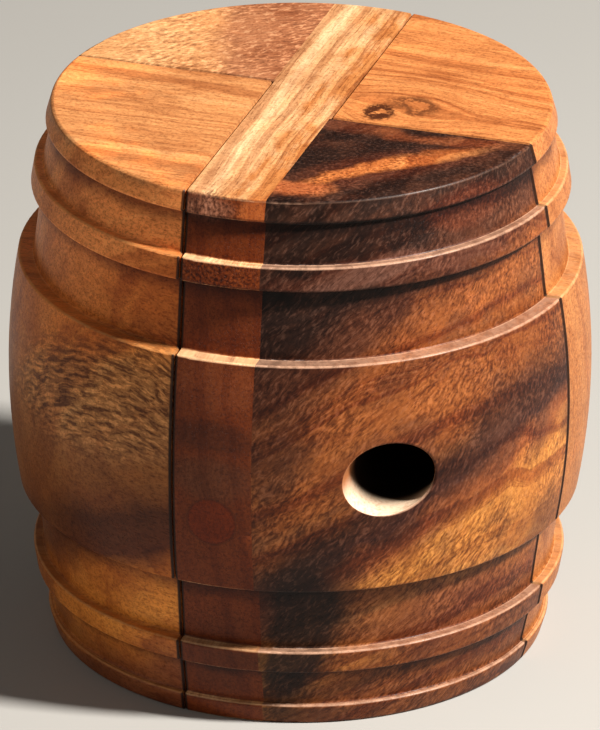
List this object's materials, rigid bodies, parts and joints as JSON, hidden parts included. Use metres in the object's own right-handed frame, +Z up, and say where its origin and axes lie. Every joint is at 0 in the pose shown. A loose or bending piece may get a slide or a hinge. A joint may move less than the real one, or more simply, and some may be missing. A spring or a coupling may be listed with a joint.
{
  "type": "wooden barrel puzzle box",
  "caption": "Turned wooden barrel whose two side blocks slide out of a glued core past a tilt-operated ball lock, each hiding a small compartment.",
  "frame": {"origin": "centre of the flat bottom", "axes": "+Z up along the turned axis, -Y the front with the lock plug, +X to the right; the centre board lies in the YZ plane"},
  "size_m": [0.13, 0.13, 0.126],
  "materials": {
    "board_wood": "oiled satin",
    "dark_wood": "oiled satin",
    "figured_wood": "oiled satin",
    "warm_wood": "oiled satin",
    "golden_wood": "oiled satin",
    "plug_wood": "oiled satin",
    "dowel_wood": "unfinished",
    "runner_wood": "waxed",
    "steel": "ground and polished",
    "screw_metal": "satin",
    "bush_brass": "turned",
    "magnet_nickel": "nickel plated"
  },
  "bodies": {
    "core": {"centre_board": "board_wood", "front_right_block": "dark_wood", "back_left_block": "figured_wood", "lock_bore_plug": "plug_wood", "front_block_dowels": "dowel_wood", "rear_block_dowels": "dowel_wood", "front_block_magnets": "magnet_nickel", "rear_block_magnets": "magnet_nickel", "left_ball_cage": "bush_brass", "right_ball_cage": "bush_brass"},
    "left_drawer": {"front_left_block": "warm_wood", "left_upper_runner": "runner_wood", "left_lower_runner": "runner_wood", "left_runner_screws": "screw_metal", "left_ball_socket": "bush_brass", "left_block_magnets": "magnet_nickel"},
    "right_drawer": {"back_right_block": "golden_wood", "right_upper_runner": "runner_wood", "right_lower_runner": "runner_wood", "right_runner_screws": "screw_metal", "right_ball_socket": "bush_brass", "right_block_magnets": "magnet_nickel"},
    "lock_rod": {"lock_rod": "steel"},
    "left_ball": {"left_ball": "steel"},
    "right_ball": {"right_ball": "steel"}
  },
  "joints": [
    {"name": "left_drawer_slide", "type": "slide", "parent": "core", "child": "left_drawer", "axis": [0, -1, 0], "range_m": [0, 0.045]},
    {"name": "right_drawer_slide", "type": "slide", "parent": "core", "child": "right_drawer", "axis": [0, 1, 0], "range_m": [0, 0.045]},
    {"name": "lock_rod_slide", "type": "slide", "parent": "core", "child": "lock_rod", "axis": [0, 1, 0], "range_m": [0, 0.00536]},
    {"name": "left_ball_slide", "type": "slide", "parent": "core", "child": "left_ball", "axis": [-1, 0, 0], "range_m": [0, 0.0025]},
    {"name": "right_ball_slide", "type": "slide", "parent": "core", "child": "right_ball", "axis": [1, 0, 0], "range_m": [0, 0.0025]}
  ],
  "couplings": [
    {"joint": "left_ball_slide", "follows": "lock_rod_slide", "ratio": 0.46631},
    {"joint": "right_ball_slide", "follows": "lock_rod_slide", "ratio": 0.46631}
  ]
}
